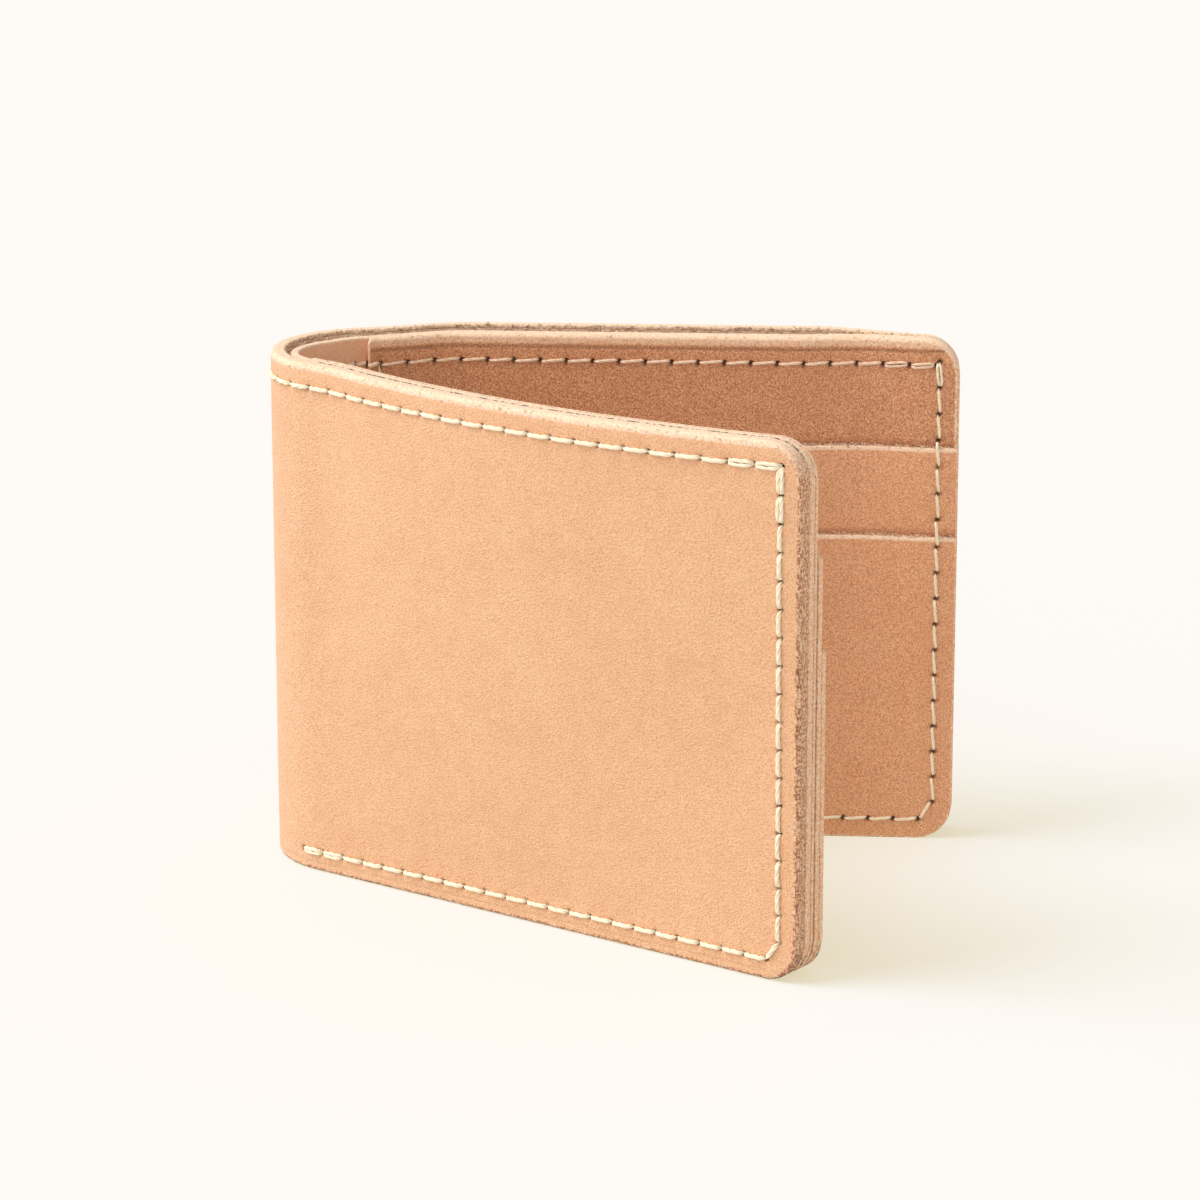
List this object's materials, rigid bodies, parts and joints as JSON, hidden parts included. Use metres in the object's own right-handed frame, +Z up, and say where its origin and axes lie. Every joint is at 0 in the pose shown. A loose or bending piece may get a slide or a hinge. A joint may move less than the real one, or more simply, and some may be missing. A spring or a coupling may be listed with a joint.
{
  "type": "bifold wallet",
  "caption": "Bifold wallet in undyed vegetable-tanned leather, hand stitched, with a full-length bill compartment, card pockets in each half and a spine that folds.",
  "frame": {"origin": "on the surface that the wallet stands on, under the middle of its bounding box in the part-open pose", "axes": "+X along the back half from the spine to its free edge, +Y out of the back half's outer face, +Z up"},
  "size_m": [0.1102, 0.0867, 0.0834],
  "materials": {
    "shell_leather": "undyed vegetable-tanned leather, smooth grain, matte, 2.4 mm",
    "liner_leather": "undyed vegetable-tanned leather, smooth grain, matte, 1.4 mm",
    "pocket_leather": "undyed vegetable-tanned leather, smooth grain, matte, 1.1 mm",
    "linen_thread": "waxed linen thread, natural, 0.6 mm"
  },
  "bodies": {
    "back_half": {"back_shell": "shell_leather", "back_liner": "liner_leather", "back_card_panel": "pocket_leather", "back_upper_pocket": "pocket_leather", "back_lower_pocket": "pocket_leather", "back_edge_seam": "linen_thread", "back_shell_top_stitching": "linen_thread", "back_liner_top_stitching": "linen_thread", "back_panel_side_seam": "linen_thread", "back_pocket_foot_seam": "linen_thread"},
    "spine_strip_1": {"spine_shell_1": "shell_leather", "spine_liner_1": "liner_leather", "spine_stitching_1": "linen_thread"},
    "spine_strip_2": {"spine_shell_2": "shell_leather", "spine_liner_2": "liner_leather", "spine_stitching_2": "linen_thread"},
    "spine_strip_3": {"spine_shell_3": "shell_leather", "spine_liner_3": "liner_leather", "spine_stitching_3": "linen_thread"},
    "spine_strip_4": {"spine_shell_4": "shell_leather", "spine_liner_4": "liner_leather", "spine_stitching_4": "linen_thread"},
    "front_half": {"front_shell": "shell_leather", "front_liner": "liner_leather", "front_card_panel": "pocket_leather", "front_upper_pocket": "pocket_leather", "front_lower_pocket": "pocket_leather", "front_edge_seam": "linen_thread", "front_shell_top_stitching": "linen_thread", "front_liner_top_stitching": "linen_thread", "front_panel_side_seam": "linen_thread", "front_pocket_foot_seam": "linen_thread"}
  },
  "joints": [
    {"name": "spine_fold_1", "type": "hinge", "parent": "back_half", "child": "spine_strip_1", "pos_m": [-0.04226, 0.03621, 0.041], "axis": [0, 0, -1], "range_deg": [-7, 29.4]},
    {"name": "spine_fold_2", "type": "hinge", "parent": "spine_strip_1", "child": "spine_strip_2", "pos_m": [-0.04902, 0.03239, 0.041], "axis": [0, 0, -1], "range_deg": [-7, 29.4]},
    {"name": "spine_fold_3", "type": "hinge", "parent": "spine_strip_2", "child": "spine_strip_3", "pos_m": [-0.05305, 0.02575, 0.041], "axis": [0, 0, -1], "range_deg": [-7, 29.4]},
    {"name": "spine_fold_4", "type": "hinge", "parent": "spine_strip_3", "child": "spine_strip_4", "pos_m": [-0.05329, 0.01799, 0.041], "axis": [0, 0, -1], "range_deg": [-7, 29.4]},
    {"name": "spine_fold_5", "type": "hinge", "parent": "spine_strip_4", "child": "front_half", "pos_m": [-0.04969, 0.01111, 0.041], "axis": [0, 0, -1], "range_deg": [-7, 29.4]}
  ],
  "couplings": [
    {"joint": "spine_fold_2", "follows": "spine_fold_1", "ratio": 1},
    {"joint": "spine_fold_3", "follows": "spine_fold_1", "ratio": 1},
    {"joint": "spine_fold_4", "follows": "spine_fold_1", "ratio": 1},
    {"joint": "spine_fold_5", "follows": "spine_fold_1", "ratio": 1}
  ]
}
